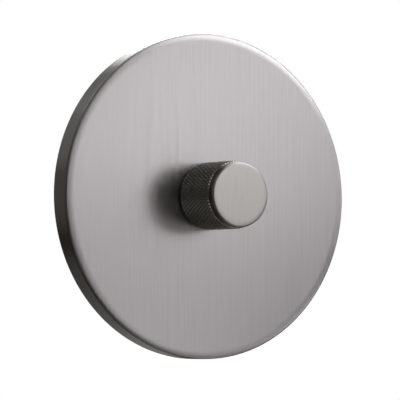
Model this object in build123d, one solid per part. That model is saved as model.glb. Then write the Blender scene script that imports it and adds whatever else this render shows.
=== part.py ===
"""Rotary push dimmer switch on a round metal wall plate, in millimetres.

Frame: +X to the right and +Z up as the plate is seen from the room, +Y into the wall.
The origin is the middle of the wall plane, on the knob's axis, so the plate is in front
of it (negative y) and the dimmer module goes back into the wall box (positive y).
"""
from build123d import *
from math import cos, pi, radians, sin
import os

# Wall plate, a turned and brushed steel dish
PLATE_R = 55.0
PLATE_DEPTH = 8.2
PLATE_WALL = 1.2
PLATE_EDGE_R = 1.2
PLATE_FRONT = -PLATE_DEPTH
PLATE_INSIDE = PLATE_FRONT + PLATE_WALL

# Knob, one turned piece with a diamond knurl
KNOB_FACE = PLATE_FRONT - 21.4
KNOB_GAP = 0.7
KNOB_BACK = PLATE_FRONT - KNOB_GAP
KNURL_R = 11.5
KNURL_ROOT_R = 11.05
KNURL_AROUND = 64
KNURL_ROWS = 7
BAND_R = 11.0
BAND_WIDTH = 2.55
BAND_EDGE = 0.55
SKIRT_WIDTH = 0.25
NUT_POCKET_R = 8.6
NUT_POCKET_FLOOR = -13.0
GRUB_Y = -19.0
GRUB_R = 1.5
GRUB_LENGTH = 6.0
PUSH_TRAVEL = 0.5

# Shaft and threaded bush, M10 outside and a 6 mm shaft inside
SHAFT_R = 3.0
SHAFT_FLAT = 1.5
SHAFT_TIP = -27.0
SHAFT_CLEARANCE = 0.05
TAIL_R = 2.4
TAIL_FLAT = 1.8
CLIP_R = 4.0
BUSH_R = 5.0
BUSH_TIP = -12.0
NUT_ACROSS = 14.0
THREAD_CLEARANCE = 0.02

# Bracket, a pressed steel top hat with screw slots at the wall box's centres
BOX_CENTRES = 60.3
BRACKET_SHEET = 1.2
BRACKET_FRONT = -5.0
BRACKET_BACK = BRACKET_FRONT + BRACKET_SHEET
BRACKET_STEP_X = 25.6
BRACKET_END_X = 37.0
BRACKET_BOTTOM = -22.0
BRACKET_TOP = 32.0
FOOT_HALF_HEIGHT = 12.0
SLOT_R = 2.4
SLOT_LENGTH = 9.0
BOX_SCREW_R = 1.75
BOX_SCREW_NECK_R = 1.5
BOX_SCREW_TAPER = 0.3
BOX_SCREW_TIP = 18.0

# Moulded housing of the dimmer module
HOUSING_WIDTH = 46.0
HOUSING_HEIGHT = 50.0
HOUSING_WALL = 1.8
HOUSING_CORNER = 3.0
COVER_FRONT = BRACKET_BACK
COVER_BACK = COVER_FRONT + 2.0
HOUSING_BACK = 24.0
BACK_EDGE_R = 1.2
STEP_BACK = 12.0
STEP_Z = -14.0
POST = 4.0
COVER_SCREW_R = 1.1

# Terminal block in the step of the housing
BAY_X = (-13.0, 0.0, 13.0)
BLOCK_BACK = 22.0
CAGE_SIZE = 7.0
CAGE_FRONT = 13.2
CAGE_BACK = 20.2
WIRE_HOLE_R = 1.7
TERMINAL_Z = -19.5

# Circuit board with the potentiometer in front of it and the parts behind it
BOARD_FRONT = 5.6
BOARD_BACK = 7.2
BOARD_HALF_X = 20.8
BOARD_HALF_Z = 22.8
LEAD_TIP = BOARD_FRONT - 0.8
LEAD = 0.35
TRIAC_LEADS = ((-12.5, 15.2), (-10.0, 15.2), (-7.5, 15.2))
CAPACITOR_LEADS = ((13.6, -10.2), (13.6, 1.8))
FUSE_LEADS = ((-16.0, -9.5), (-16.0, 5.5))
RESISTOR_LEADS = ((-9.6, -9.2), (-0.4, -9.2), (-9.6, -12.4), (-0.4, -12.4))
POT_FRONT = COVER_BACK + 1.2
POT_SIZE = 17.0
POT_CAVITY_R = 7.5
TRACK_FRONT = 3.4
TRACK_BACK = 4.0
ROTOR_R = 6.6
STOP_HALF_ANGLE = 20.0
EAR_HALF_ANGLE = 8.0
EAR_GAP_ANGLE = 2.0

# Push contact behind the board
SWITCH_BACK = 13.6
SWITCH_SIZE = 12.0
PLUNGER_R = 2.2
PLUNGER_TIP = 6.3
BRIDGE_FRONT = 10.0
BRIDGE_BACK = 10.4
CONTACT_FRONT = BRIDGE_BACK + PUSH_TRAVEL + 0.05
CAVITY_BACK = 12.8
SPRING_WIRE = 0.15
SPRING_R = 1.5
SPRING_TURNS = 4
SPRING_STEPS = 12

# Power device on its heat sink, and the interference filter's choke
HEAT_SINK_BACK = 21.5
TAB_FACE = 18.6
TRIAC_HOLE = (-10.0, 19.3, TAB_FACE)
TRIAC_SCREW_R = 1.3
CHOKE_X = 12.2
CHOKE_Z = 12.2
CHOKE_FRONT = BOARD_BACK + 0.9
CHOKE_BACK = CHOKE_FRONT + 7.5
CORE_OUTER_R = 7.0
CORE_INNER_R = 3.8
CHOKE_TURNS = 22
CHOKE_WIRE = 0.6

# Earth clamp on the bracket's tongue
EARTH_Z = 28.8
EARTH_HALF = 3.0
EARTH_BACK = BRACKET_BACK + 8.0
EARTH_HOLE_Y = BRACKET_BACK + 3.2
CLAMP_R = 1.5
CLAMP_HOLE_R = 1.52

os.makedirs("parts", exist_ok=True)


def drawn_at(y):
    """The plane seen from the room at depth y: local x is +X and local y is +Z."""
    return Plane(origin=(0, y, 0), x_dir=(1, 0, 0), z_dir=(0, -1, 0))


def slab(sketch, front, back):
    """A sketch drawn as seen from the room, made solid from y = front to y = back."""
    return extrude(drawn_at(front) * sketch, amount=back - front, dir=(0, 1, 0))


def turned(*outline):
    """A closed outline of (radius, y) points turned about the Y axis."""
    return revolve(make_face(Polyline(*outline, close=True)), axis=Axis.Y)


def ring(outer, front, back, inner):
    return slab(Circle(outer) - Circle(inner), front, back)


def rod(radius, front, back, x=0.0, z=0.0):
    return slab(Pos(x, z) * Circle(radius), front, back)


def box_between(x1, x2, y1, y2, z1, z2):
    size = (x2 - x1, y2 - y1, z2 - z1)
    return Pos((x1 + x2) / 2, (y1 + y2) / 2, (z1 + z2) / 2) * Box(*size)


def leads(places, back):
    """Square wire ends that pass through the circuit board."""
    return [box_between(x - LEAD, x + LEAD, LEAD_TIP, back, z - LEAD, z + LEAD) for x, z in places]


def clipped_disc(radius, flat):
    """A round section with two flats, as of a shaft that drives a rotor."""
    return Circle(radius) & Rectangle(2 * radius, 2 * flat)


def sector(inner, outer, middle, half_angle):
    """A sector of a ring, its middle turned clockwise from the bottom by an angle."""
    reach = 2 * outer
    low, high = radians(-90 - middle - half_angle), radians(-90 - middle + half_angle)
    wedge = make_face(Polyline((0, 0), (reach * cos(low), reach * sin(low)),
                               (reach * cos(high), reach * sin(high)), close=True))
    return (Circle(outer) - Circle(inner)) & wedge


def front_plate():
    plate = turned((BUSH_R + 0.15, PLATE_FRONT), (PLATE_R, PLATE_FRONT), (PLATE_R, 0),
                   (PLATE_R - PLATE_WALL, 0), (PLATE_R - PLATE_WALL, PLATE_INSIDE),
                   (BUSH_R + 0.15, PLATE_INSIDE))
    rim = plate.edges().filter_by(GeomType.CIRCLE).filter_by(
        lambda edge: abs(edge.radius - PLATE_R) < 0.01).sort_by(Axis.Y)[0]
    return fillet(rim, PLATE_EDGE_R)


def skin(rings):
    """A solid whose surface joins equal rings of points one after another, with flat ends.

    Each four-sided patch is split on the diagonal that starts where column + ring is even.
    """
    count = len(rings[0])
    faces = [Face(Wire.make_polygon(rings[end])) for end in (0, -1)]
    for n, (here, there) in enumerate(zip(rings, rings[1:])):
        for k in range(count):
            after = (k + 1) % count
            quad = [here[k], here[after], there[after], there[k]]
            if (k + n) % 2 == 1:
                quad = quad[1:] + quad[:1]
            faces.append(Face(Wire.make_polygon([quad[0], quad[1], quad[2]])))
            faces.append(Face(Wire.make_polygon([quad[0], quad[2], quad[3]])))
    return Solid(Shell(faces))


def knurl(front, back):
    """Diamond knurl: a grid of points whose groove crossings are low and peaks are high.

    Point (k, row) is a groove crossing where k + row is even and the peak of a pyramid
    where it is odd. The two end rows are all low, so the knurl runs out at each end.
    """
    last = 2 * KNURL_ROWS
    rings = []
    for row in range(last + 1):
        y = front + (back - front) * row / last
        ring_points = []
        for k in range(2 * KNURL_AROUND):
            low = row in (0, last) or (k + row) % 2 == 0
            radius = KNURL_ROOT_R if low else KNURL_R
            angle = pi * k / KNURL_AROUND
            ring_points.append(Vector(radius * cos(angle), y, radius * sin(angle)))
        rings.append(ring_points)
    return skin(rings)


def knob():
    knurl_front = KNOB_FACE + BAND_WIDTH
    knurl_back = KNOB_BACK - SKIRT_WIDTH
    front = turned((0, KNOB_FACE), (BAND_R, KNOB_FACE), (BAND_R, knurl_front), (0, knurl_front))
    front = fillet(front.edges().filter_by(GeomType.CIRCLE).sort_by(Axis.Y)[0], BAND_EDGE)
    skirt = turned((0, knurl_back), (BAND_R, knurl_back), (BAND_R, KNOB_BACK), (0, KNOB_BACK))
    body = front + knurl(knurl_front, knurl_back) + skirt
    body -= rod(NUT_POCKET_R, NUT_POCKET_FLOOR, KNOB_BACK)
    body -= rod(SHAFT_R + SHAFT_CLEARANCE, SHAFT_TIP - 0.3, NUT_POCKET_FLOOR)
    return body - Pos(0, GRUB_Y, -KNURL_R / 2) * Cylinder(GRUB_R + THREAD_CLEARANCE, KNURL_R)


def grub_screw():
    screw = Pos(0, GRUB_Y, -SHAFT_FLAT - GRUB_LENGTH / 2) * Cylinder(GRUB_R, GRUB_LENGTH)
    socket = Pos(0, GRUB_Y, -SHAFT_FLAT - GRUB_LENGTH) * extrude(
        RegularPolygon(0.75, 6, major_radius=False), amount=1.8)
    return screw - socket


def knob_shaft():
    shoulder = -0.6
    tail = slab(clipped_disc(TAIL_R, TAIL_FLAT), shoulder, PLUNGER_TIP - 0.05)
    flat = slab(Pos(0, SHAFT_R - SHAFT_FLAT / 2) * Rectangle(2 * SHAFT_R, 2 * SHAFT_R + SHAFT_FLAT)
                & Circle(SHAFT_R), SHAFT_TIP, NUT_POCKET_FLOOR)
    shaft = flat + rod(SHAFT_R, NUT_POCKET_FLOOR, shoulder) + tail
    return shaft - ring(TAIL_R + 1, 4.65, 5.15, TAIL_R - 0.5)


def shaft_clip():
    """Spring clip in the groove of the shaft's tail, open on one side."""
    clip = Circle(CLIP_R) - Circle(TAIL_R - 0.5) - Pos(0, 3) * Rectangle(3.2, 6)
    return slab(clip, 4.67, 5.13)


def pot_bush():
    return turned((SHAFT_R + SHAFT_CLEARANCE, BUSH_TIP), (BUSH_R - 0.5, BUSH_TIP),
                  (BUSH_R, BUSH_TIP + 0.5), (BUSH_R, COVER_BACK), (7.5, COVER_BACK),
                  (7.5, POT_FRONT), (SHAFT_R + SHAFT_CLEARANCE, POT_FRONT))


def hex_nut(front, back):
    return slab(RegularPolygon(NUT_ACROSS / 2, 6, major_radius=False)
                - Circle(BUSH_R + THREAD_CLEARANCE), front, back)


def lock_washer():
    """Internal-tooth washer between the plate and its nut."""
    teeth = Sketch() + [Rot(0, 0, 36 * n) * Pos(5.75, 0) * Rectangle(1.2, 1.2) for n in range(10)]
    face = (Circle(7.4) - Circle(6.2)) + teeth
    return slab(face - Circle(BUSH_R + 0.1), PLATE_FRONT - 0.6, PLATE_FRONT)


def mounting_bracket():
    right = [(0, BRACKET_FRONT), (BRACKET_STEP_X, BRACKET_FRONT),
             (BRACKET_STEP_X, -BRACKET_SHEET), (BRACKET_END_X, -BRACKET_SHEET), (BRACKET_END_X, 0),
             (BRACKET_STEP_X - BRACKET_SHEET, 0), (BRACKET_STEP_X - BRACKET_SHEET, BRACKET_BACK),
             (0, BRACKET_BACK)]
    left = [(-x, y) for x, y in reversed(right[1:-1])]
    height = BRACKET_TOP - BRACKET_BOTTOM
    hat = extrude(make_face(Polyline(*right, *left, close=True)), amount=height)
    hat = Pos(0, 0, BRACKET_BOTTOM) * hat
    middle = (BRACKET_TOP + BRACKET_BOTTOM) / 2
    outline = Pos(0, middle) * RectangleRounded(2 * BRACKET_STEP_X, height, 3)
    tongue = Pos(0, (BRACKET_TOP + 25.5) / 2) * Rectangle(60, BRACKET_TOP - 25.5)
    outline -= tongue - Rectangle(16, 2 * BRACKET_TOP)
    outline += RectangleRounded(2 * BRACKET_END_X, 2 * FOOT_HALF_HEIGHT, 3)
    outline -= Circle(BUSH_R + 0.1)
    for side in (-1, 1):
        outline -= Pos(side * BOX_CENTRES / 2, 0) * Rot(0, 0, 90) * SlotOverall(SLOT_LENGTH, 2 * SLOT_R)
    return hat & slab(outline, BRACKET_FRONT, 0)


def pan_screw(radius, head_r, head_h, length, slot=0.8, neck=()):
    """A slotted screw along +Y with the underside of its head at the origin."""
    shank = neck or ((radius, 0),)
    screw = turned((0, -head_h), (head_r - 0.4, -head_h), (head_r, -head_h + 0.6), (head_r, 0),
                   *shank, (radius, length - 0.6), (radius - 0.6, length), (0, length))
    return screw - Pos(0, -head_h, 0) * Box(2 * head_r, head_h, slot)


def box_screws():
    """Two screws with a thin neck in the bracket's slot, so that they can shift sideways there."""
    neck = ((BOX_SCREW_NECK_R, 0), (BOX_SCREW_NECK_R, BRACKET_SHEET - BOX_SCREW_TAPER),
            (BOX_SCREW_R, BRACKET_SHEET))
    screw = pan_screw(BOX_SCREW_R, 3.3, 2.2, BOX_SCREW_TIP + BRACKET_SHEET, neck=neck)
    return [Pos(side * BOX_CENTRES / 2, -BRACKET_SHEET, 0) * screw for side in (-1, 1)]


def corner_posts():
    """Middles of the two screw posts, in opposite corners of the housing."""
    x, z = (size / 2 - HOUSING_WALL - POST / 2 for size in (HOUSING_WIDTH, HOUSING_HEIGHT))
    return (-x, z), (x, -z)


def housing_cover():
    outline = RectangleRounded(HOUSING_WIDTH, HOUSING_HEIGHT, HOUSING_CORNER) - Circle(BUSH_R + 0.1)
    for x, z in corner_posts():
        outline -= Pos(x, z) * Circle(COVER_SCREW_R + 0.15)
    cover = slab(outline, COVER_FRONT, COVER_BACK)
    for x, z in corner_posts():
        cover -= rod(2.5, COVER_FRONT, COVER_FRONT + 1.2, x, z)
    return cover


def dimmer_housing():
    """A tub open to the front, with a step across its lower back for the terminals."""
    tub = slab(RectangleRounded(HOUSING_WIDTH, HOUSING_HEIGHT, HOUSING_CORNER), COVER_BACK, HOUSING_BACK)
    half_x, half_z = HOUSING_WIDTH / 2, HOUSING_HEIGHT / 2
    tub -= box_between(-half_x, half_x, STEP_BACK, HOUSING_BACK, -half_z, STEP_Z)
    tub = fillet(tub.edges().group_by(Axis.Y)[-1], BACK_EDGE_R)
    room = box_between(-half_x + HOUSING_WALL, half_x - HOUSING_WALL, COVER_BACK,
                       STEP_BACK - HOUSING_WALL, -half_z + HOUSING_WALL, half_z - HOUSING_WALL)
    room += box_between(-half_x + HOUSING_WALL, half_x - HOUSING_WALL, COVER_BACK,
                        HOUSING_BACK - HOUSING_WALL, STEP_Z + HOUSING_WALL, half_z - HOUSING_WALL)
    tub -= room
    for x, z in corner_posts():
        depth = STEP_BACK if z < 0 else HOUSING_BACK
        post = box_between(x - POST / 2, x + POST / 2, COVER_BACK, depth - HOUSING_WALL,
                           z - POST / 2, z + POST / 2)
        tub += post
        tub -= rod(COVER_SCREW_R + THREAD_CLEARANCE, COVER_BACK, 8, x, z)
    for x in BAY_X:
        tub -= box_between(x - 2, x + 2, STEP_BACK - HOUSING_WALL, STEP_BACK,
                           TERMINAL_Z - 0.8, TERMINAL_Z + 0.8)
    for n in range(7):
        slot_x = -15 + 5 * n
        tub -= box_between(slot_x - 0.9, slot_x + 0.9, HOUSING_BACK - HOUSING_WALL, HOUSING_BACK, 0, 16)
    return tub


def housing_screws():
    screw = pan_screw(COVER_SCREW_R, 2.3, 1.2, 8.0, slot=0.6)
    return [Pos(x, COVER_FRONT + 1.2, z) * screw for x, z in corner_posts()]


def terminal_block():
    """Moulded block with a bay for each cage, a wire entry below and a screw hole behind."""
    bottom = -HOUSING_HEIGHT / 2
    block = box_between(-21, 21, STEP_BACK, BLOCK_BACK, bottom, STEP_Z)
    for x in BAY_X:
        bay = CAGE_SIZE / 2 + 0.1
        block -= box_between(x - bay, x + bay, STEP_BACK, CAGE_BACK + 0.1,
                             TERMINAL_Z - bay, TERMINAL_Z + bay)
        block -= rod(2.6, CAGE_BACK, BLOCK_BACK, x, TERMINAL_Z)
        entry = Pos(x, (CAGE_FRONT + CAGE_BACK) / 2, bottom + 1) * Cylinder(WIRE_HOLE_R + 0.6, 4)
        block -= entry
    return block


def terminal_cage(x):
    """Brass cage: a cross hole for the wire, a tapped hole behind and a tail to the board."""
    half = CAGE_SIZE / 2
    cage = box_between(x - half, x + half, CAGE_FRONT, CAGE_BACK, TERMINAL_Z - half, TERMINAL_Z + half)
    middle = (CAGE_FRONT + CAGE_BACK) / 2
    cage -= Pos(x, middle, TERMINAL_Z) * Cylinder(WIRE_HOLE_R, CAGE_SIZE)
    cage -= rod(CLAMP_HOLE_R, middle, CAGE_BACK, x, TERMINAL_Z)
    return cage + box_between(x - 1.5, x + 1.5, LEAD_TIP, CAGE_FRONT, TERMINAL_Z - 0.4, TERMINAL_Z + 0.4)


def clamp_screw(x, z, back, length):
    """A headless slotted screw turned in from behind."""
    screw = rod(CLAMP_R, back - length, back, x, z)
    return screw - box_between(x - 2, x + 2, back - 0.8, back, z - 0.3, z + 0.3)


def terminal_screws():
    return [clamp_screw(x, TERMINAL_Z, CAGE_BACK + 1.0, 3.6) for x in BAY_X]


def earth_terminal():
    """Brass clamp block riveted to the bracket's tongue, above the housing."""
    block = box_between(-EARTH_HALF, EARTH_HALF, BRACKET_BACK, EARTH_BACK,
                        EARTH_Z - EARTH_HALF, EARTH_Z + EARTH_HALF)
    block -= Pos(0, EARTH_HOLE_Y, EARTH_Z) * Rot(0, 90, 0) * Cylinder(WIRE_HOLE_R, 2 * EARTH_HALF)
    return block - rod(CLAMP_HOLE_R, EARTH_HOLE_Y, EARTH_BACK, 0, EARTH_Z)


def earth_screw():
    return clamp_screw(0, EARTH_Z, EARTH_BACK + 0.8, 4.4)


def circuit_board():
    outline = Rectangle(2 * BOARD_HALF_X, 2 * BOARD_HALF_Z) - Circle(CLIP_R + 0.4)
    for x, z in corner_posts():
        outline -= Pos(x, z) * Rectangle(POST + 1.2, POST + 1.2)
    for x in BAY_X:
        outline -= Pos(x, TERMINAL_Z) * Rectangle(3.2, 1.0)
    for x, z in TRIAC_LEADS + CAPACITOR_LEADS + FUSE_LEADS + RESISTOR_LEADS:
        outline -= Pos(x, z) * Rectangle(4 * LEAD, 4 * LEAD)
    return slab(outline, BOARD_FRONT, BOARD_BACK)


def pot_body():
    """Moulded cup of the potentiometer, with the stop that limits the rotor's turn."""
    cup = slab(RectangleRounded(POT_SIZE, POT_SIZE, 2.5), POT_FRONT, BOARD_FRONT)
    cup -= rod(POT_CAVITY_R, POT_FRONT, TRACK_BACK)
    cup += slab(sector(6.9, POT_CAVITY_R + 0.3, 0, STOP_HALF_ANGLE), POT_FRONT, 2.6)
    return cup - rod(4.6, TRACK_BACK, BOARD_FRONT)


def resistive_track():
    return ring(POT_CAVITY_R, TRACK_FRONT, TRACK_BACK, 4.6)


def wiper_rotor():
    """Rotor driven by the shaft's flats, its ear just clear of the stop when turned right down."""
    ear_middle = STOP_HALF_ANGLE + EAR_HALF_ANGLE + EAR_GAP_ANGLE
    ear = slab(sector(ROTOR_R - 0.5, 7.2, ear_middle, EAR_HALF_ANGLE), 0.4, 2.2)
    body = rod(ROTOR_R, 0.4, 2.2) + ear + rod(3.4, 2.2, 4.5)
    return body - slab(clipped_disc(TAIL_R + 0.06, TAIL_FLAT + 0.06), 0.4, 4.5)


def wiper_contact():
    """Sprung contact ring with two fingers that bear on the track."""
    contact = ring(6.2, 2.2, 2.5, 3.45)
    for side in (-1, 1):
        contact += box_between(side * 5.4 - 0.6, side * 5.4 + 0.6, 2.5, TRACK_FRONT - 0.05, -0.8, 0.8)
    return contact


def switch_body():
    half = SWITCH_SIZE / 2
    body = box_between(-half, half, BOARD_BACK, SWITCH_BACK, -half, half)
    body -= rod(PLUNGER_R + 0.15, BOARD_BACK, 8.2)
    return body - rod(4.2, 8.2, CAVITY_BACK)


def switch_contacts():
    return [box_between(-1.2, 1.2, CONTACT_FRONT, CAVITY_BACK, side * 3.2 - 0.7, side * 3.2 + 0.7)
            for side in (-1, 1)]


def switch_plunger():
    return turned((0, PLUNGER_TIP), (PLUNGER_R - 0.3, PLUNGER_TIP), (PLUNGER_R, PLUNGER_TIP + 0.3),
                  (PLUNGER_R, 8.6), (3.2, 8.6), (3.2, 9.4), (PLUNGER_R, 9.4),
                  (PLUNGER_R, BRIDGE_FRONT), (0, BRIDGE_FRONT))


def contact_bridge():
    return rod(3.9, BRIDGE_FRONT, BRIDGE_BACK)


def return_spring():
    """Compression spring of square wire between the contact bridge and its housing's back.

    Each ring of the skin is the wire's section at one angle of the helix.
    """
    count = SPRING_TURNS * SPRING_STEPS
    rise = (CAVITY_BACK - BRIDGE_BACK - 2 * SPRING_WIRE) / count
    near, far = SPRING_R - SPRING_WIRE, SPRING_R + SPRING_WIRE
    rings = []
    for n in range(count + 1):
        angle = 2 * pi * n / SPRING_STEPS
        low = BRIDGE_BACK + rise * n
        high = low + 2 * SPRING_WIRE
        section = ((near, low), (far, low), (far, high), (near, high))
        rings.append([Vector(r * cos(angle), y, r * sin(angle)) for r, y in section])
    return skin(rings)


def heat_sink():
    """Folded aluminium angle that takes the heat of the power device."""
    front = BOARD_BACK + 0.8
    sink = box_between(-17, -1, front, HEAT_SINK_BACK, TAB_FACE, TAB_FACE + 1.5)
    sink += box_between(-17, -15.5, front, HEAT_SINK_BACK, TAB_FACE - 4.5, TAB_FACE)
    return sink - Pos(*TRIAC_HOLE) * Cylinder(TRIAC_SCREW_R + THREAD_CLEARANCE, 4)


def triac():
    """Three-leg power device, its metal tab flat against the heat sink."""
    body = box_between(-15, -5, 9.7, 17.3, 14.0, 17.3)
    tab = box_between(-15, -5, 9.7, 21.2, 17.3, TAB_FACE) - Pos(*TRIAC_HOLE) * Cylinder(1.6, 4)
    return body + tab + leads(TRIAC_LEADS, 9.7)


def triac_screw():
    x, y, z = TRIAC_HOLE
    return Pos(x, y, z - 1.3) * Rot(90, 0, 0) * pan_screw(TRIAC_SCREW_R, 1.9, 1.6, 4.2, slot=0.6)


def choke_core():
    core = slab(Circle(CORE_OUTER_R) - Circle(CORE_INNER_R), CHOKE_FRONT, CHOKE_BACK)
    return Pos(CHOKE_X, 0, CHOKE_Z) * core


def choke_winding():
    """Turns of enamelled wire, each a square loop round the core's section."""
    near, far, front, back = CORE_INNER_R - 0.05, CORE_OUTER_R + 0.05, CHOKE_FRONT, CHOKE_BACK
    half = CHOKE_WIRE / 2
    outer = box_between(near - CHOKE_WIRE, far + CHOKE_WIRE, front - CHOKE_WIRE, back + CHOKE_WIRE,
                        -half, half)
    loop = outer - box_between(near, far, front, back, -half, half)
    place = Pos(CHOKE_X, 0, CHOKE_Z)
    return [place * Rot(0, 320.0 * n / CHOKE_TURNS, 0) * loop for n in range(CHOKE_TURNS)]


def suppression_capacitor():
    body = slab(Pos(13.6, -4.2) * RectangleRounded(11.5, 16, 1), BOARD_BACK, 19)
    return body + leads(CAPACITOR_LEADS, BOARD_BACK)


def fuse():
    x, y, z = -16.0, 10.4, -2.0
    tube = Pos(x, y, z) * Cylinder(2.4, 17)
    caps = [Pos(x, y, z + side * 7.5) * Cylinder(2.6, 5) for side in (-1, 1)]
    return tube + caps + leads(FUSE_LEADS, y - 2)


def resistors():
    """Two small resistors lying along X, their wires bent down to the board."""
    y = 9.0
    made = []
    for left, right in (RESISTOR_LEADS[:2], RESISTOR_LEADS[2:]):
        body = Pos((left[0] + right[0]) / 2, y, left[1]) * Rot(0, 90, 0) * Cylinder(1.1, 6.5)
        wire = box_between(left[0] - LEAD, right[0] + LEAD, y - LEAD, y + LEAD, left[1] - LEAD,
                           left[1] + LEAD)
        made.append(body + wire + leads((left, right), y))
    return made


def control_chip():
    body = box_between(-11.5, -7.5, BOARD_BACK + 0.2, BOARD_BACK + 1.7, -3.5, 1.5)
    legs = [box_between(-12.4, -6.6, BOARD_BACK, BOARD_BACK + 0.4, z - 0.2, z + 0.2)
            for z in (-2.9, -1.63, -0.37, 0.9)]
    return body + legs


NODES = {
    "front_plate": front_plate, "knob": knob, "grub_screw": grub_screw, "knob_shaft": knob_shaft,
    "shaft_clip": shaft_clip, "bush_nut": lambda: hex_nut(PLATE_FRONT - 2.8, PLATE_FRONT - 0.6),
    "lock_washer": lock_washer, "bracket_nut": lambda: hex_nut(PLATE_INSIDE, BRACKET_FRONT),
    "mounting_bracket": mounting_bracket, "box_screws": box_screws,
    "earth_terminal": earth_terminal, "earth_screw": earth_screw,
    "housing_cover": housing_cover, "dimmer_housing": dimmer_housing,
    "housing_screws": housing_screws, "terminal_block": terminal_block,
    "terminal_screws": terminal_screws, "circuit_board": circuit_board,
    "pot_bush": pot_bush, "pot_body": pot_body, "resistive_track": resistive_track,
    "wiper_rotor": wiper_rotor, "wiper_contact": wiper_contact,
    "switch_body": switch_body, "switch_contacts": switch_contacts,
    "switch_plunger": switch_plunger, "contact_bridge": contact_bridge,
    "return_spring": return_spring, "heat_sink": heat_sink, "triac": triac,
    "triac_screw": triac_screw, "choke_core": choke_core, "choke_winding": choke_winding,
    "suppression_capacitor": suppression_capacitor, "fuse": fuse, "resistors": resistors,
    "control_chip": control_chip,
}

for name, make in NODES.items():
    shape = make()
    export_step(Compound(shape) if isinstance(shape, list) else shape, f"parts/{name}.step")
for number, x in enumerate(BAY_X, start=1):
    export_step(terminal_cage(x), f"parts/terminal_cage_{number}.step")
print("nodes written:", len(NODES) + len(BAY_X))
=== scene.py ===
# %% [markdown]
# # A brushed steel dimmer switch
# The part is a round metal wall plate with a knurled push knob, and the dimmer module that
# hangs behind it in the wall box. The solids come from the CAD model as a fixed frame. This
# lesson dresses them: it makes smooth turned surfaces for the pieces that the eye lingers
# on, gives every piece a finish of its own, and lights the whole like a small studio.

# %% Load the frame
import math
import bpy
import numpy as np
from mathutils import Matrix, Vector


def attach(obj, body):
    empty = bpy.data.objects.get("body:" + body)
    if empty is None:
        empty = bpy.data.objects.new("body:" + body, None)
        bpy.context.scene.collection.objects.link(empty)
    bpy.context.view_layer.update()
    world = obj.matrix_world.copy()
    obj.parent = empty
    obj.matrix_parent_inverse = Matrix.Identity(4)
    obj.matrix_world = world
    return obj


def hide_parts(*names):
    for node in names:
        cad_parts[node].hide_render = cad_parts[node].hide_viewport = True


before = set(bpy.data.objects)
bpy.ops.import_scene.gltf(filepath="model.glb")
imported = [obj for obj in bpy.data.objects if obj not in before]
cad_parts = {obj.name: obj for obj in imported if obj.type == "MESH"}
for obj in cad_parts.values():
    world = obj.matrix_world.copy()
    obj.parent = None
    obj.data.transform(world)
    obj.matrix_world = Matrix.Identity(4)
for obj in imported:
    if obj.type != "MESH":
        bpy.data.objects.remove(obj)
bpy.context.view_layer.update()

MM = 0.001

# %% [markdown]
# ## The camera
# The photograph was taken from the left and a touch below, with a long lens, so the round
# plate is a tall ellipse and its left rim shows. The camera's place is worked out from two
# angles and a distance, which keeps the perspective honest, and no lens shift is needed.

# %% The camera
AZIMUTH, ELEVATION = math.radians(-31.55), math.radians(-1.865)
TARGET = Vector((2.27, 0, -0.99)) * MM
DISTANCE = 1.5
FOCAL_PIXELS, IMAGE_PIXELS, SENSOR = 4413, 400, 36
back = Vector((math.sin(AZIMUTH) * math.cos(ELEVATION), -math.cos(AZIMUTH) * math.cos(ELEVATION),
               math.sin(ELEVATION)))
camera = bpy.data.objects.new("camera", bpy.data.cameras.new("camera"))
camera.data.lens = FOCAL_PIXELS / IMAGE_PIXELS * SENSOR
camera.data.sensor_width = SENSOR
camera.location = TARGET + back * DISTANCE
camera.rotation_mode = "QUATERNION"
camera.rotation_quaternion = (-back).to_track_quat("-Z", "Y")
camera.data.clip_start, camera.data.clip_end = 0.05, 20
bpy.context.collection.objects.link(camera)
bpy.context.scene.camera = camera
print("lens", round(camera.data.lens, 1), "mm")

# %% [markdown]
# ## The studio
# Brushed metal has almost no colour of its own: it shows the room. A world picture could
# hold that room, but soft lamps can be named and moved one at a time. Each stands in a
# direction given in degrees, as a photographer would point to it: 0 is straight in front of
# the plate and positive is to the right. The camera stands at -32, so the face mirrors what
# is at +32, and most of its light comes from the lamps round there. The lamps to the left
# are weak, so the knob's reflection and the rim stay dark. The lamps behind the wall plane
# only graze the rim and the knurl, and light the module in views from the back. The camera
# sees plain white behind the part, which the Light Path node allows.

# %% The world
def new_node(tree, kind, **settings):
    """A shader node of that kind, with its settings and its inputs by name or number."""
    node = tree.nodes.new(kind)
    for key, value in settings.pop("inputs", {}).items():
        node.inputs[key].default_value = value
    for key, value in settings.items():
        setattr(node, key, value)
    return node


def link(tree, source, target):
    tree.links.new(source, target)


ROOM_LIGHT, ROOM_COLOUR = 0.02, (1, 0.88, 0.66, 1)
world = bpy.data.worlds.new("studio")
bpy.context.scene.world = world
world.use_nodes = True
tree = world.node_tree
tree.nodes.clear()
room = new_node(tree, "ShaderNodeBackground", inputs={"Color": ROOM_COLOUR, "Strength": ROOM_LIGHT})
paper = new_node(tree, "ShaderNodeBackground", inputs={"Color": (1, 1, 1, 1), "Strength": 1.0})
seen = new_node(tree, "ShaderNodeLightPath")
mix = new_node(tree, "ShaderNodeMixShader")
link(tree, seen.outputs["Is Camera Ray"], mix.inputs[0])
link(tree, room.outputs[0], mix.inputs[1])
link(tree, paper.outputs[0], mix.inputs[2])
output = new_node(tree, "ShaderNodeOutputWorld")
link(tree, mix.outputs[0], output.inputs["Surface"])
bpy.context.scene.view_settings.view_transform = "Standard"
print("world ready")

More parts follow.
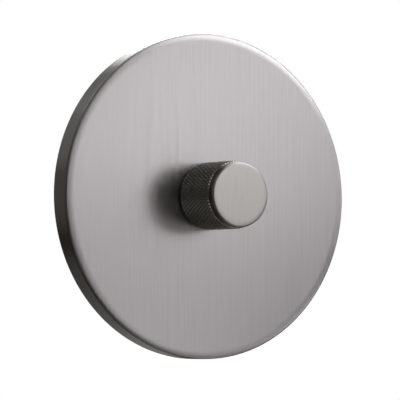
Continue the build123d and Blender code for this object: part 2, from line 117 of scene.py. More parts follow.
# %% The lamps
# A reach is a lamp's distance and its diameter, in metres. Each lamp has a name, two angles
# in degrees, a power in watts and a reach.
NEAR, FAR, WIDE, BELOW, REAR = (0.45, 0.12), (0.6, 0.3), (0.6, 0.5), (0.45, 0.5), (0.9, 0.5)
LAMPS = [
    ("main", 24, 7, 0.055, NEAR), ("main_right", 33, 5, 0.045, NEAR), ("main_low", 25, -11, 0.06, NEAR),
    ("main_high", 33, 26, 0.14, NEAR), ("main_top", 30, 38, 0.08, NEAR), ("front", 8, 6, 0.022, NEAR),
    ("right", 56, 4, 0.05, NEAR), ("right_high", 48, 20, 0.15, NEAR), ("right_low", 52, -18, 0.06, NEAR),
    ("far_right", 85, 5, 0.15, FAR), ("sky_right", 75, 42, 0.9, WIDE), ("sky_top", 60, 70, 0.8, WIDE),
    ("floor_low", 38, -42, 0.15, FAR), ("left_high", -35, 26, 0.05, FAR), ("left_top", -60, 42, 0.05, FAR),
    ("left_low", -38, -24, 0.05, FAR),
    ("behind_high", 165, 50, 0.32, FAR), ("behind_low", 165, -22, 0.09, FAR),
    ("behind_left_high", -150, 50, 0.18, FAR), ("behind_left_up", -150, 26, 0.05, FAR),
    ("behind_left", -150, 2, 0.022, FAR), ("behind_left_low", -166, -28, 0.022, FAR),
    ("left_side", -95, 8, 0.04, FAR), ("under", 10, -65, 0.08, BELOW),
    ("rear", 150, 12, 8, REAR),
]


def soft_lamp(name, azimuth, elevation, power, reach):
    """A round lamp that faces the origin; reach is its distance and its diameter, in metres."""
    distance, diameter = reach
    turned, raised = math.radians(azimuth), math.radians(elevation)
    place = Vector((math.sin(turned) * math.cos(raised), -math.cos(turned) * math.cos(raised),
                    math.sin(raised))) * distance
    light = bpy.data.lights.new(name, "AREA")
    light.shape, light.size, light.energy = "DISK", diameter, power
    made = bpy.data.objects.new(name, light)
    made.location = place
    made.rotation_mode = "QUATERNION"
    made.rotation_quaternion = (-place).to_track_quat("-Z", "Y")
    made.visible_camera = False
    bpy.context.collection.objects.link(made)


for row in LAMPS:
    soft_lamp(*row)
print(len(LAMPS), "lamps")

# %% The floor
FLOOR_Z, FLOOR_HALF, FLOOR_GLOW, PAPER_ROUGHNESS = -0.5, 30, 0.8, 0.8
floor_mesh = bpy.data.meshes.new("floor")
corners = [(-1, -1), (1, -1), (1, 1), (-1, 1)]
floor_mesh.from_pydata([(x * FLOOR_HALF, y * FLOOR_HALF, FLOOR_Z) for x, y in corners], [], [(0, 1, 2, 3)])
floor_paper = bpy.data.materials.new("floor_paper")
floor_paper.use_nodes = True
tree = floor_paper.node_tree
shader = tree.nodes["Principled BSDF"]
shader.inputs["Roughness"].default_value = PAPER_ROUGHNESS
shader.inputs["Emission Strength"].default_value = FLOOR_GLOW
mottle = new_node(tree, "ShaderNodeTexNoise", inputs={"Scale": 6.0, "Detail": 3.0})
link(tree, new_node(tree, "ShaderNodeTexCoord").outputs["Object"], mottle.inputs["Vector"])
shade = new_node(tree, "ShaderNodeMapRange", inputs={"To Min": 0.97, "To Max": 1.0})
link(tree, mottle.outputs["Fac"], shade.inputs["Value"])
link(tree, shade.outputs[0], shader.inputs["Base Color"])
link(tree, shade.outputs[0], shader.inputs["Emission Color"])
floor_mesh.materials.append(floor_paper)
floor = bpy.data.objects.new("floor", floor_mesh)
floor.visible_diffuse = floor.visible_glossy = False
bpy.context.collection.objects.link(floor)
print("floor", 2 * FLOOR_HALF, "m wide")

# %% [markdown]
# ## Surfaces from numbers
# Each new piece is one grid of points worked out with numpy. A turned piece is a profile of
# radius and depth carried round the Y axis. The grid is wrapped into a closed skin, so the
# mesh has no seam, and where the profile touches the axis it closes on a single pole. Each
# mesh reports its volume, which is positive only when its faces point outwards.

# %% Mesh objects
SHARP_FROM = 30


def mesh_object(name, points, faces, materials, slots=None):
    """A mesh from an array of points, in millimetres, and lists of faces, with smooth shading.

    An edge where the faces turn by more than SHARP_FROM degrees stays sharp.
    """
    mesh = bpy.data.meshes.new(name)
    mesh.from_pydata((np.asarray(points) * MM).tolist(), [], faces)
    for material in materials:
        mesh.materials.append(material)
    if slots is not None:
        mesh.polygons.foreach_set("material_index", np.asarray(slots, dtype=np.int32))
    mesh.shade_smooth()
    mesh.set_sharp_from_angle(angle=math.radians(SHARP_FROM))
    mesh.validate()
    mesh.update()
    made = bpy.data.objects.new(name, mesh)
    bpy.context.collection.objects.link(made)
    print(name, len(mesh.vertices), "points,", *measure(mesh))
    return made


def measure(mesh):
    """Triangles and volume in cubic millimetres: a sum of a . (b x c) / 6, positive if faces point out."""
    mesh.calc_loop_triangles()
    corners = np.zeros(3 * len(mesh.loop_triangles), np.int32)
    mesh.loop_triangles.foreach_get("vertices", corners)
    points = np.zeros(3 * len(mesh.vertices), np.float32)
    mesh.vertices.foreach_get("co", points)
    a, b, c = (points.reshape(-1, 3)[corners.reshape(-1, 3)[:, n]] / MM for n in range(3))
    volume = np.einsum("ij,ij->", a, np.cross(b, c)) / 6
    return len(mesh.loop_triangles), "triangles,", round(float(volume)), "mm3"


print("edges over", SHARP_FROM, "degrees stay sharp")

# %% Profiles and grids
def arc(centre_r, centre_y, radius, start, end, count=7):
    """Points (radius, y) on a round corner, from one angle to another, in degrees."""
    t = np.radians(np.linspace(start, end, count))
    return np.column_stack((centre_r + radius * np.cos(t), centre_y + radius * np.sin(t)))


def turn(profile, around):
    """The profile's points (r, y) carried round Y: point (r cos t, y, r sin t) for each angle t."""
    t = np.linspace(0, 2 * np.pi, around, endpoint=False)
    r, y = profile[:, :1], profile[:, 1:]
    return np.stack((r * np.cos(t), np.broadcast_to(y, (len(profile), around)), r * np.sin(t)), axis=-1)


def wrap(rows, columns, closed_rows):
    """Faces of a grid whose columns close on themselves, and its rows too if asked.

    They face out where the rows run from front to back on the outside of a turned piece.
    """
    i = np.arange(rows if closed_rows else rows - 1)[:, None]
    j = np.arange(columns)[None, :]
    after_i, after_j = (i + 1) % rows, (j + 1) % columns
    quads = np.stack((i * columns + j, after_i * columns + j, after_i * columns + after_j,
                      i * columns + after_j), axis=-1)
    return quads.reshape(-1, 4)


print("a grid of 3 rows and 8 columns has", len(wrap(3, 8, closed_rows=False)), "faces")

# %% [markdown]
# ## Brushed steel
# Brushing leaves thousands of fine parallel scratches. Seen close they are bumps; from a
# step away they only stretch every reflection across the grain. The finish has both: an
# anisotropic shader whose tangent runs across the scratches, and noise squeezed along one
# axis, which varies roughness and lifts a very fine bump. The seven steels differ in shade
# and gloss: the band round the knob's front is the darkest, a painted shade, and the chamfer
# between knurl and band is the brightest, a painted highlight, and the glossiest.

# %% Small node helpers
def finish(name, colour, roughness, metallic=1.0, **sockets):
    """A new material with its Principled shader, and the tree to add patterns to."""
    material = bpy.data.materials.new(name)
    material.use_nodes = True
    shader = material.node_tree.nodes["Principled BSDF"]
    shader.inputs["Base Color"].default_value = (*colour, 1)
    shader.inputs["Roughness"].default_value = roughness
    shader.inputs["Metallic"].default_value = metallic
    for key, value in sockets.items():
        shader.inputs[key.replace("_", " ")].default_value = value
    return material, material.node_tree, shader


def noise(tree, vector, scale, detail=4, roughness=0.6):
    node = new_node(tree, "ShaderNodeTexNoise",
                    inputs={"Scale": scale, "Detail": detail, "Roughness": roughness})
    link(tree, vector, node.inputs["Vector"])
    return node.outputs["Fac"]


def spread(tree, value, low, high, start=0.3, end=0.7):
    """A value from start to end, mapped to low to high."""
    node = new_node(tree, "ShaderNodeMapRange", inputs={"From Min": start, "From Max": end,
                                                         "To Min": low, "To Max": high})
    link(tree, value, node.inputs["Value"])
    return node.outputs[0]


def tint(tree, factor, dark, light):
    """A colour between two, by a factor from 0 to 1."""
    node = new_node(tree, "ShaderNodeMix", data_type="RGBA")
    node.inputs[6].default_value, node.inputs[7].default_value = (*dark, 1), (*light, 1)
    link(tree, factor, node.inputs[0])
    return node.outputs[2]


def object_place(tree, stretch=(1, 1, 1)):
    """Object coordinates, in metres, stretched along each axis."""
    where = new_node(tree, "ShaderNodeTexCoord")
    scaled = new_node(tree, "ShaderNodeMapping", inputs={"Scale": stretch})
    link(tree, where.outputs["Object"], scaled.inputs["Vector"])
    return scaled.outputs["Vector"]


def bump(tree, shader, height, strength, distance):
    node = new_node(tree, "ShaderNodeBump", inputs={"Strength": strength, "Distance": distance})
    link(tree, height, node.inputs["Height"])
    link(tree, node.outputs["Normal"], shader.inputs["Normal"])


print("node helpers ready")

# %% The steel finish
GLOSS_SPREAD, LIGHT_SHARE, DARK_SHARE = 0.05, 1.08, 0.92
SCRATCH_STRENGTH, SCRATCH_DEPTH = 0.2, 0.00002


def brushed_steel(name, colour, roughness, stretch, across, anisotropy=0.5):
    """Steel scratched along one axis: the stretch is small along the grain, large across it.

    The reflection is drawn out across the scratches, so the shader's tangent is that axis.
    It is given in object space and turned to the world's, so it moves with its piece.
    """
    material, tree, shader = finish(name, colour, roughness, Anisotropic=anisotropy)
    grain = noise(tree, object_place(tree, stretch), 1, detail=5, roughness=0.65)
    gloss = spread(tree, grain, roughness - GLOSS_SPREAD, roughness + GLOSS_SPREAD)
    link(tree, gloss, shader.inputs["Roughness"])
    light = tuple(min(1, c * LIGHT_SHARE) for c in colour)
    dark = tuple(c * DARK_SHARE for c in colour)
    link(tree, tint(tree, spread(tree, grain, 0, 1), dark, light), shader.inputs["Base Color"])
    bump(tree, shader, grain, SCRATCH_STRENGTH, SCRATCH_DEPTH)
    tangent = new_node(tree, "ShaderNodeVectorTransform", vector_type="VECTOR", convert_from="OBJECT",
                       convert_to="WORLD", inputs={"Vector": [float(axis == across) for axis in "XYZ"]})
    link(tree, tangent.outputs[0], shader.inputs["Tangent"])
    return material


plate_face_steel = brushed_steel("plate_face_steel", (0.5, 0.475, 0.487), 0.33, (3200, 3200, 35), "X", 0.3)
plate_rim_steel = brushed_steel("plate_rim_steel", (0.47, 0.46, 0.45), 0.32, (300, 5000, 300), "Y")
inside_steel = brushed_steel("inside_steel", (0.42, 0.42, 0.41), 0.5, (900, 900, 900), "Z", 0)
knob_face_steel = brushed_steel("knob_face_steel", (0.45, 0.43, 0.42), 0.33, (3200, 3200, 35), "X", 0.3)
knurl_steel = brushed_steel("knurl_steel", (0.45, 0.45, 0.4), 0.28, (300, 2500, 300), "Y", 0.2)
# Painted shade: the band's dark brown colour stands in for the dim room that it reflects.
shaded_band_steel = brushed_steel("shaded_band_steel", (0.21, 0.185, 0.14), 0.26, (300, 2500, 300), "Y", 0.2)
# Painted highlight: the chamfer's bright colour stands in for the light that it catches.
highlit_chamfer_steel = brushed_steel("highlit_chamfer_steel", (0.8, 0.78, 0.7), 0.16, (600, 2500, 600), "Y", 0)
print("steel finishes: 7")

# %% [markdown]
# ## The wall plate
# The plate is a dish turned from steel: a flat face, a rounded front edge and a straight
# rim that meets the wall. Brushing wears the face down a little towards its edge, which
# gives the soft light band there, so the last few millimetres fall away before the round.
# A bevel on the CAD mesh would keep its facets, so the whole section is drawn as a closed
# profile and carried round in 288 steps. The knob's face ends in the same way, so the worn
# edge is a helper of its own.

# %% A worn edge
FALL_POINTS = 7


def worn_edge(outer_r, face_y, width, angle, radius, arc_points):
    """The end of a face that falls away, and the round after it, as two arrays of (r, y).

    Over the width u runs from 0 to 1, and y falls by tan(angle) * width * u^2 / 2, so the
    slope grows evenly to the angle, in degrees. There the round starts, and it ends on the side.
    """
    tilt, u = math.radians(angle), np.linspace(0, 1, FALL_POINTS)
    last_r = outer_r - radius + radius * math.sin(tilt)
    fall = np.column_stack((last_r - width * (1 - u), face_y + math.tan(tilt) * width * u ** 2 / 2))
    centre_y = fall[-1, 1] + radius * math.cos(tilt)
    return fall, arc(outer_r - radius, centre_y, radius, angle - 90, 0, arc_points)[1:]


print("worn edge:", FALL_POINTS, "rings before the round")

# %% The plate's profile
# The breaks are the small chamfers of the hole and of the rim's back. Beside each round is
# a ring that only supports it, so that smooth shading keeps to the round.
PLATE_R, PLATE_DEPTH, PLATE_WALL, EDGE_R, HOLE_R = 55.0, 8.2, 1.2, 0.7, 5.15
PLATE_STEPS, MIDDLE_R, INNER_ROUND, SUPPORT = 288, 30, 0.5, 0.3
ROLL_WIDTH, ROLL_ANGLE = 2.6, 9
HOLE_BREAK, RIM_BREAK, OUTER_BREAK, INNER_BREAK = 0.1, 0.12, 0.2, 0.15
front, inside = -PLATE_DEPTH, -PLATE_DEPTH + PLATE_WALL
inner_r = PLATE_R - PLATE_WALL
roll, edge_round = worn_edge(PLATE_R, front, ROLL_WIDTH, ROLL_ANGLE, EDGE_R, 9)
face_part = np.vstack(([[HOLE_R, front + HOLE_BREAK], [HOLE_R + HOLE_BREAK, front], [MIDDLE_R, front]], roll))
rim_part = np.vstack((edge_round, [[PLATE_R, inside + SUPPORT], [PLATE_R, -OUTER_BREAK],
                                   [PLATE_R - RIM_BREAK, 0]]))
back_part = np.vstack(([[inner_r + RIM_BREAK, 0], [inner_r, -INNER_BREAK],
                        [inner_r, inside + INNER_ROUND + SUPPORT]],
                       arc(inner_r - INNER_ROUND, inside + INNER_ROUND, INNER_ROUND, 0, -90, 6)[1:],
                       [[MIDDLE_R, inside], [HOLE_R + HOLE_BREAK, inside], [HOLE_R, inside - HOLE_BREAK]]))
plate_profile = np.vstack((face_part, rim_part, back_part))
print("plate profile:", len(plate_profile), "rings")

# %% The plate's skin
PLATE_FACE, PLATE_RIM, PLATE_BACK = range(3)
ROUND_ON_FACE = 7
plate_faces = wrap(len(plate_profile), PLATE_STEPS, closed_rows=True)
ring_slot = np.full(len(plate_profile), PLATE_BACK)
ring_slot[:len(face_part) + ROUND_ON_FACE] = PLATE_FACE
ring_slot[len(face_part) + ROUND_ON_FACE:len(face_part) + len(rim_part)] = PLATE_RIM
plate = mesh_object("dish_plate", turn(plate_profile, PLATE_STEPS).reshape(-1, 3), plate_faces.tolist(),
                    [plate_face_steel, plate_rim_steel, inside_steel],
                    np.repeat(ring_slot, PLATE_STEPS))
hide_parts("front_plate")
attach(plate, "base")

# %% [markdown]
# ## The knob
# A knurling tool rolls two families of slanting grooves into the steel. Where they cross
# they leave rows of small flat-topped diamonds. The knurl could be a bump texture, but its
# teeth show on the outline, so it is real relief: a fine grid wrapped round the knob whose
# radius follows the distance to the nearest diamond's middle. The grid has four cells from
# a diamond's middle to each corner, and each cell is split along the groove's direction, so
# every groove is a straight clean line. The same grid ends in a chamfer that catches the
# light, helped by a bright colour that is a painted highlight. The rest is an ordinary turned
# profile: a plain band whose dark colour is painted shade, and a brushed face that falls away
# a little before its rounded edge.

# %% The knurl
KNURL_AROUND, KNURL_ROWS, CELLS = 64, 7, 4
KNURL_TOP, KNURL_ROOT, BAND_R, FLAT_TOP = 11.5, 11.05, 11.0, 0.22
KNURL_FRONT, KNURL_BACK, CHAMFER = -27.05, -9.15, 0.34
KNOB_STEPS = 2 * KNURL_AROUND * CELLS
KNURL_LINES = 2 * KNURL_ROWS * CELLS + 1


def knurl_grid():
    """Radii of the knurl on its grid of lines and columns.

    With a and b the distances to the nearest diamond's middle, along and around, in parts
    of its half length, the level is a + b: 0 in the middle, 1 in the groove. The radius
    falls in a straight line from the flat top to the groove, and is cut off by a cone at
    both ends, the chamfer.
    """
    line, column = np.arange(KNURL_LINES)[:, None], np.arange(KNOB_STEPS)[None, :]
    a, b = (np.abs((n + CELLS) % (2 * CELLS) - CELLS) / CELLS for n in (line, column))
    level = np.minimum(a + b, 2 - a - b)
    height = np.clip((1 - level) / (1 - FLAT_TOP), 0, 1)
    depth = np.linspace(KNURL_FRONT, KNURL_BACK, KNURL_LINES)[:, None]
    from_end = np.minimum(depth - KNURL_FRONT, KNURL_BACK - depth)
    cone = BAND_R + from_end * (KNURL_TOP - BAND_R) / CHAMFER
    return np.minimum(KNURL_ROOT + (KNURL_TOP - KNURL_ROOT) * height, cone), depth


def knurl_faces(first):
    """Triangles of the knurl, each cell split along the groove that is nearest to it."""
    line, column = np.arange(KNURL_LINES - 1)[:, None], np.arange(KNOB_STEPS)[None, :]
    after = (column + 1) % KNOB_STEPS
    here, right = first + line * KNOB_STEPS + column, first + line * KNOB_STEPS + after
    below, across = here + KNOB_STEPS, right + KNOB_STEPS
    same = (line % (2 * CELLS) < CELLS) == (column % (2 * CELLS) < CELLS)
    one = np.where(same[..., None], np.stack((here, below, right), -1), np.stack((here, across, right), -1))
    two = np.where(same[..., None], np.stack((right, below, across), -1), np.stack((here, below, across), -1))
    return np.concatenate((one.reshape(-1, 3), two.reshape(-1, 3)))


radii, depths = knurl_grid()
t = np.linspace(0, 2 * np.pi, KNOB_STEPS, endpoint=False)[None, :]
knurl_points = np.stack((radii * np.cos(t), np.broadcast_to(depths, radii.shape), radii * np.sin(t)), -1)
print("knurl:", KNURL_AROUND, "around,", KNURL_ROWS, "rows,", KNOB_STEPS, "points in a ring")

# %% The knob's profile
KNOB_FACE, KNOB_BACK, FACE_EDGE, CROWN_WIDTH, CROWN_ANGLE = -29.6, -8.9, 0.8, 1.2, 5
POCKET_R, POCKET_FLOOR, BORE_R, BORE_END = 8.6, -13.0, 3.05, -27.3
FACE_RINGS, FLOOR_RING, BORE_RING, BAND_RING = (0.9, 3, 6), 6, -18, 0.6
POCKET_BREAK, SKIRT_BREAK, KNURL_GAP = 0.1, 0.15, 0.05
crown, face_round = worn_edge(BAND_R, KNOB_FACE, CROWN_WIDTH, CROWN_ANGLE, FACE_EDGE, 8)
face_rows = np.vstack(([[r, KNOB_FACE] for r in FACE_RINGS], crown, face_round,
                       [[BAND_R, KNURL_FRONT - BAND_RING], [BAND_R, KNURL_FRONT - KNURL_GAP]]))
back_rows = np.array([[BAND_R, KNURL_BACK + KNURL_GAP], [BAND_R - SKIRT_BREAK, KNOB_BACK],
                      [POCKET_R + POCKET_BREAK, KNOB_BACK], [POCKET_R, KNOB_BACK - POCKET_BREAK],
                      [POCKET_R, POCKET_FLOOR], [FLOOR_RING, POCKET_FLOOR], [BORE_R, POCKET_FLOOR],
                      [BORE_R, BORE_RING], [BORE_R, BORE_END]])
print("knob profile:", len(face_rows), "rings before the knurl,", len(back_rows), "after it")

# %% The knob's skin
KNOB_FRONT, KNURLED, INSIDE, BAND, CUT = range(5)
BAND_ROWS = 4
rows = len(face_rows) + KNURL_LINES + len(back_rows)
knob_points = np.vstack((turn(face_rows, KNOB_STEPS).reshape(-1, 3), knurl_points.reshape(-1, 3),
                         turn(back_rows, KNOB_STEPS).reshape(-1, 3), [[0, KNOB_FACE, 0], [0, BORE_END, 0]]))
plain = wrap(rows, KNOB_STEPS, closed_rows=False)
in_knurl = slice(len(face_rows) * KNOB_STEPS, (len(face_rows) + KNURL_LINES - 1) * KNOB_STEPS)
kept = np.ones(len(plain), bool)
kept[in_knurl] = False
column = np.arange(KNOB_STEPS)
after = (column + 1) % KNOB_STEPS
face_pole = np.stack((column, after, np.full(KNOB_STEPS, len(knob_points) - 2)), -1)
last_row = (rows - 1) * KNOB_STEPS
bore_pole = np.stack((last_row + after, last_row + column, np.full(KNOB_STEPS, len(knob_points) - 1)), -1)
knurl_part = knurl_faces(len(face_rows) * KNOB_STEPS)
knob_faces = plain[kept].tolist() + knurl_part.tolist() + face_pole.tolist() + bore_pole.tolist()
row_slot = np.full(rows - 1, KNURLED)
# The band's rings take the steel whose dark colour is painted shade.
row_slot[:len(face_rows)] = BAND
row_slot[:len(face_rows) - BAND_ROWS] = KNOB_FRONT
row_slot[len(face_rows) + KNURL_LINES + 1:] = INSIDE
knob_slots = np.concatenate((np.repeat(row_slot, KNOB_STEPS)[kept], np.full(len(knurl_part), KNURLED),
                             np.full(KNOB_STEPS, KNOB_FRONT), np.full(KNOB_STEPS, INSIDE)))
first_knurled = int(kept.sum())
# The knurl's first line of cells, its front chamfer, takes the steel whose bright colour is a painted
# highlight.
for start in (first_knurled, first_knurled + len(knurl_part) // 2):
    knob_slots[start:start + KNOB_STEPS] = CUT
knob = mesh_object("knurled_knob", knob_points, knob_faces,
                   [knob_face_steel, knurl_steel, inside_steel, shaded_band_steel, highlit_chamfer_steel], knob_slots)
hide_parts("knob")
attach(knob, "knob")

# %% The grub screw's hole
def carve(piece, cutter):
    """Takes the cutter's solid out of the piece and throws the cutter away."""
    modifier = piece.modifiers.new("carve", "BOOLEAN")
    modifier.object, modifier.operation, modifier.solver = cutter, "DIFFERENCE", "EXACT"
    bpy.context.view_layer.update()
    whole = piece.evaluated_get(bpy.context.evaluated_depsgraph_get())
    carved = bpy.data.meshes.new_from_object(whole)
    piece.modifiers.clear()
    piece.data = carved
    bpy.data.objects.remove(cutter)
    print("carved", piece.name, *measure(carved))


def upright_rod(name, radius, y, low, high, material, around=40):
    """A closed cylinder along Z: points (r cos t, y + r sin t, z), with one flat face at each end."""
    t = np.linspace(0, 2 * np.pi, around, endpoint=False)
    rows = [np.column_stack((radius * np.cos(t), y + radius * np.sin(t), np.full(around, z)))
            for z in (low, high)]
    ends = [list(range(around))[::-1], list(range(around, 2 * around))]
    side = wrap(2, around, closed_rows=False)[:, ::-1].tolist()
    return mesh_object(name, np.vstack(rows), side + ends, [material])


# The cutter starts outside the knurl and ends inside the bore.
GRUB_Y, GRUB_HOLE_R, CUT_OUTSIDE, CUT_INSIDE = -19.0, 1.52, 1, 0.5
carve(knob, upright_rod("grub_hole", GRUB_HOLE_R, GRUB_Y, -KNURL_TOP - CUT_OUTSIDE, -BORE_R + CUT_INSIDE,
                        inside_steel))

# %% [markdown]
# ## The box screws
# Two screws hold the bracket to the wall box. Their threads are a helix, which a turned
# profile can't give, so the radius of each grid point follows its height along the screw
# minus its share of a turn: that one number is the same all along the thread's crest.

# %% Threaded screws
SCREW_X, SCREW_MAJOR, SCREW_MINOR, SCREW_PITCH = 30.15, 1.75, 1.42, 0.6
HEAD_R, HEAD_HEIGHT, HEAD_UNDER, SCREW_TIP, SLOT_WIDTH = 3.3, 2.2, -1.2, 18.0, 0.8
SCREW_STEPS, LINES_PER_PITCH, STEEPNESS, ROOT_CUT = 48, 6, 1.5, 0.15
HEAD_EDGE, HEAD_POLE_R, HEAD_BREAK, NECK_R, NECK_END = 0.7, 0.5, 0.1, 1.5, -0.3
TIP_LENGTH, TIP_FALL, TIP_RING, TIP_BREAK, THREAD_START = 0.5, 0.5, 0.3, 0.1, 0.1


def thread_grid():
    """Points of a threaded shank: r = minor + depth * ramp(y / pitch - t / full turn).

    The ramp rises and falls in straight lines, cut off flat at the crest and the root, and
    the thread fades in and out over its first and last turn.
    """
    count = int(round(SCREW_TIP / SCREW_PITCH * LINES_PER_PITCH))
    y = np.linspace(0, SCREW_TIP - TIP_LENGTH, count)[:, None]
    t = np.linspace(0, 2 * np.pi, SCREW_STEPS, endpoint=False)[None, :]
    phase = (y / SCREW_PITCH - t / (2 * np.pi)) % 1
    ramp = np.clip(STEEPNESS * (1 - np.abs(2 * phase - 1)) - ROOT_CUT, 0, 1)
    fade = np.clip(np.minimum(y + THREAD_START, SCREW_TIP - TIP_LENGTH - y) / SCREW_PITCH, 0, 1)
    r = SCREW_MINOR + (SCREW_MAJOR - SCREW_MINOR) * ramp * fade
    return np.stack((r * np.cos(t), np.broadcast_to(y, r.shape), r * np.sin(t)), -1).reshape(-1, 3)


head_front = HEAD_UNDER - HEAD_HEIGHT
head = np.vstack(([[HEAD_POLE_R, head_front]],
                  arc(HEAD_R - HEAD_EDGE, head_front + HEAD_EDGE, HEAD_EDGE, -80, 0, 6),
                  [[HEAD_R, HEAD_UNDER - HEAD_BREAK], [HEAD_R - HEAD_BREAK, HEAD_UNDER],
                   [NECK_R, HEAD_UNDER], [NECK_R, NECK_END], [SCREW_MINOR, -THREAD_START]]))
tip = np.array([[SCREW_MINOR - TIP_BREAK, SCREW_TIP - TIP_RING], [SCREW_MINOR - TIP_FALL, SCREW_TIP]])
screw_points = np.vstack((turn(head, SCREW_STEPS).reshape(-1, 3), thread_grid(),
                          turn(tip, SCREW_STEPS).reshape(-1, 3)))
screw_rows, last_ring = len(screw_points) // SCREW_STEPS, len(screw_points) - SCREW_STEPS
screw_faces = wrap(screw_rows, SCREW_STEPS, closed_rows=False).tolist()
screw_faces += [list(range(SCREW_STEPS)), list(range(last_ring, len(screw_points)))[::-1]]
print("screw:", screw_rows, "rings of", SCREW_STEPS, "points")

# %% [markdown]
# ## Finishes for the module behind the plate
# The CAD pieces keep their shape and only get a finish. Most of them need one idea each: a
# moulding has the spark-eroded texture of its mould, plating has a faint tint that drifts
# from grey to straw, and a turned part has rings. Colours and bumps come from noise in
# object coordinates, in metres, so a scale of 2000 means features of half a millimetre.

# %% Moulded plastics
def moulded(name, colour, roughness, texture, strength=0.25):
    """Plastic from an eroded mould: fine bumps, with a slow drift in gloss and in shade."""
    material, tree, shader = finish(name, colour, roughness, metallic=0)
    place = object_place(tree)
    drift = noise(tree, place, 90, detail=3)
    link(tree, spread(tree, drift, roughness - 0.06, roughness + 0.08), shader.inputs["Roughness"])
    dark, light = tuple(c * 0.9 for c in colour), tuple(min(1, c * 1.1) for c in colour)
    link(tree, tint(tree, spread(tree, drift, 0, 1), dark, light), shader.inputs["Base Color"])
    bump(tree, shader, noise(tree, place, texture, detail=2), strength, 0.00004)
    return material


housing_plastic = moulded("housing_plastic", (0.022, 0.022, 0.025), 0.46, 2600, 0.4)
pot_plastic = moulded("pot_plastic", (0.03, 0.036, 0.05), 0.4, 3400)
terminal_plastic = moulded("terminal_plastic", (0.6, 0.6, 0.58), 0.38, 3400)
acetal = moulded("acetal", (0.75, 0.72, 0.64), 0.3, 4200, 0.15)
print("moulded plastics: 4")

# %% Metals
def plated(name, grey, straw, roughness):
    """Zinc plating: its clear passivation drifts between two tints, over fine drawing lines."""
    material, tree, shader = finish(name, grey, roughness)
    cloud = noise(tree, object_place(tree), 160, detail=3)
    link(tree, tint(tree, spread(tree, cloud, 0, 1), grey, straw), shader.inputs["Base Color"])
    speck = noise(tree, object_place(tree), 3200, detail=3)
    link(tree, spread(tree, speck, roughness - 0.05, roughness + 0.1), shader.inputs["Roughness"])
    bump(tree, shader, speck, 0.12, 0.00003)
    return material


# A band texture at scale 1 repeats after this length, and the tool advances by its feed.
BAND_LENGTH, TOOL_FEED = 0.314, 0.12 * MM


def turned_metal(name, colour, roughness):
    """Metal off a lathe: rings about the Y axis, one for each pass of the tool."""
    material, tree, shader = finish(name, colour, roughness)
    rings = new_node(tree, "ShaderNodeTexWave", wave_type="BANDS", bands_direction="Y",
                     inputs={"Scale": BAND_LENGTH / TOOL_FEED, "Distortion": 1.5, "Detail": 2.0})
    link(tree, object_place(tree), rings.inputs["Vector"])
    stain = noise(tree, object_place(tree), 220, detail=4)
    link(tree, spread(tree, stain, roughness - 0.05, roughness + 0.12), shader.inputs["Roughness"])
    dark = tuple(c * 0.78 for c in colour)
    link(tree, tint(tree, spread(tree, stain, 0, 1), dark, colour), shader.inputs["Base Color"])
    bump(tree, shader, rings.outputs["Fac"], 0.15, 0.00001)
    return material


zinc_steel = plated("zinc_steel", (0.55, 0.56, 0.58), (0.6, 0.56, 0.47), 0.3)
spring_steel = plated("spring_steel", (0.38, 0.38, 0.4), (0.42, 0.39, 0.34), 0.28)
aluminium = plated("aluminium", (0.7, 0.71, 0.72), (0.66, 0.66, 0.66), 0.36)
bronze = plated("bronze", (0.62, 0.4, 0.2), (0.55, 0.32, 0.15), 0.3)
brass = turned_metal("brass", (0.74, 0.55, 0.24), 0.26)
shaft_steel = turned_metal("shaft_steel", (0.5, 0.5, 0.5), 0.24)
print("metals: 6")

# %% Electrical parts
def region(tree, axis, low, high):
    """1 where an object coordinate, in millimetres, lies between two values, and 0 elsewhere."""
    where = new_node(tree, "ShaderNodeTexCoord")
    parts = new_node(tree, "ShaderNodeSeparateXYZ")
    link(tree, where.outputs["Object"], parts.inputs[0])
    middle, half = (low + high) / 2 * MM, (high - low) / 2 * MM
    within = new_node(tree, "ShaderNodeMath", operation="COMPARE", inputs={1: middle, 2: half})
    link(tree, parts.outputs[axis], within.inputs[0])
    return within.outputs[0]


def with_metal(name, body, roughness, axis, low, high, metal=(0.72, 0.72, 0.7)):
    """One finish for a body and its metal ends, which begin where a coordinate leaves a span."""
    material, tree, shader = finish(name, body, roughness, metallic=0)
    within = region(tree, axis, low, high)
    speck = noise(tree, object_place(tree), 1500, detail=3)
    dark = tuple(c * 0.85 for c in body)
    paint = tint(tree, spread(tree, speck, 0, 1), dark, body)
    colour = new_node(tree, "ShaderNodeMix", data_type="RGBA")
    colour.inputs[6].default_value = (*metal, 1)
    link(tree, paint, colour.inputs[7])
    link(tree, within, colour.inputs[0])
    link(tree, colour.outputs[2], shader.inputs["Base Color"])
    link(tree, spread(tree, within, 1, 0, 0, 1), shader.inputs["Metallic"])
    link(tree, spread(tree, speck, roughness - 0.05, roughness + 0.1), shader.inputs["Roughness"])
    bump(tree, shader, speck, 0.1, 0.00003)
    return material


YARN, YARN_GAP = 0.0009, 0.00008


def laminate(name, mask, copper):
    """Circuit board: solder mask over glass cloth, whose weave shows as a fine bump."""
    material, tree, shader = finish(name, mask, 0.32, metallic=0)
    weave = new_node(tree, "ShaderNodeTexBrick", offset=0.0, inputs={
        "Scale": 1.0, "Mortar Size": YARN_GAP, "Brick Width": YARN, "Row Height": YARN})
    swap = new_node(tree, "ShaderNodeMapping", inputs={"Rotation": (math.pi / 2, 0, 0)})
    link(tree, object_place(tree), swap.inputs["Vector"])
    link(tree, swap.outputs[0], weave.inputs["Vector"])
    cells = new_node(tree, "ShaderNodeTexVoronoi", distance="MANHATTAN", feature="DISTANCE_TO_EDGE",
                     inputs={"Scale": 260.0})
    link(tree, swap.outputs[0], cells.inputs["Vector"])
    tracks = spread(tree, cells.outputs["Distance"], 1, 0, 0.06, 0.08)
    link(tree, tint(tree, tracks, mask, copper), shader.inputs["Base Color"])
    bump(tree, shader, weave.outputs["Fac"], 0.2, 0.00002)
    return material


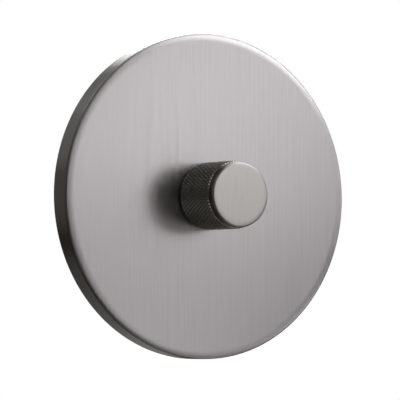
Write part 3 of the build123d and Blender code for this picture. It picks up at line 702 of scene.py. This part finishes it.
board = laminate("board", (0.02, 0.11, 0.05), (0.05, 0.2, 0.08))
carbon_track = moulded("carbon_track", (0.02, 0.02, 0.022), 0.6, 5200)
ferrite = moulded("ferrite", (0.62, 0.56, 0.1), 0.42, 2200, 0.3)
triac_finish = with_metal("triac_epoxy", (0.02, 0.02, 0.022), 0.45, "Z", 0, 17.3)
capacitor_finish = with_metal("capacitor_case", (0.62, 0.42, 0.04), 0.25, "Y", 7.2, 30)
fuse_finish = with_metal("fuse_ceramic", (0.78, 0.76, 0.7), 0.22, "Z", -7, 3)
resistor_finish = with_metal("resistor_body", (0.2, 0.38, 0.45), 0.3, "X", -8.25, -1.75)
chip_finish = with_metal("chip_epoxy", (0.02, 0.02, 0.022), 0.5, "X", -11.5, -7.5)
print("electrical finishes: 8")

# %% Enamelled wire
copper_wire, tree, shader = finish("copper_wire", (0.5, 0.17, 0.06), 0.3, Coat_Weight=0.6)
shader.inputs["Coat Roughness"].default_value = 0.08
cloud = noise(tree, object_place(tree), 900, detail=3)
link(tree, tint(tree, spread(tree, cloud, 0, 1), (0.4, 0.12, 0.04), (0.58, 0.21, 0.08)),
     shader.inputs["Base Color"])
link(tree, spread(tree, cloud, 0.24, 0.4), shader.inputs["Roughness"])
print("enamelled wire ready")

# %% Dress the CAD pieces
DRESS = {
    zinc_steel: ["grub_screw", "mounting_bracket", "box_screws", "earth_screw", "housing_screws",
                 "terminal_screws", "triac_screw"],
    spring_steel: ["shaft_clip", "lock_washer", "return_spring"],
    shaft_steel: ["knob_shaft"],
    brass: ["bush_nut", "bracket_nut", "earth_terminal", "pot_bush", "terminal_cage_1",
            "terminal_cage_2", "terminal_cage_3"],
    bronze: ["wiper_contact", "switch_contacts", "contact_bridge"],
    aluminium: ["heat_sink"],
    housing_plastic: ["housing_cover", "dimmer_housing"],
    terminal_plastic: ["terminal_block"],
    pot_plastic: ["pot_body", "switch_body"],
    acetal: ["wiper_rotor", "switch_plunger"],
    board: ["circuit_board"], carbon_track: ["resistive_track"], ferrite: ["choke_core"],
    copper_wire: ["choke_winding"], triac_finish: ["triac"], fuse_finish: ["fuse"],
    capacitor_finish: ["suppression_capacitor"], resistor_finish: ["resistors"],
    chip_finish: ["control_chip"], plate_face_steel: ["front_plate"], knurl_steel: ["knob"],
}
for material, names in DRESS.items():
    for name in names:
        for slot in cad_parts[name].material_slots:
            slot.material = material
print("dressed", sum(len(names) for names in DRESS.values()), "of", len(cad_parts), "CAD pieces")

# %% Place the two screws
# The slot in the head is cut with a block, half of which stands in front of the head.
SLOT_DEPTH, SLOT_LENGTH = 1.1, 8


def block(name, size, centre, material):
    """A closed box, its eight corners at plus and minus half its size from the centre."""
    signs = np.array([(x, y, z) for x in (-1, 1) for y in (-1, 1) for z in (-1, 1)])
    faces = [(0, 1, 3, 2), (4, 6, 7, 5), (0, 4, 5, 1), (2, 3, 7, 6), (0, 2, 6, 4), (1, 5, 7, 3)]
    return mesh_object(name, signs * np.array(size) / 2 + np.array(centre), faces, [material])


for side, label in ((-1, "left"), (1, "right")):
    shift = np.array([side * SCREW_X, 0, 0])
    screw = mesh_object(f"box_screw_{label}", screw_points + shift, screw_faces, [zinc_steel])
    slot_size = (SLOT_LENGTH, 2 * SLOT_DEPTH, SLOT_WIDTH)
    carve(screw, block("slot", slot_size, shift + [0, head_front, 0], zinc_steel))
    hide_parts("box_screws")
    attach(screw, "base")
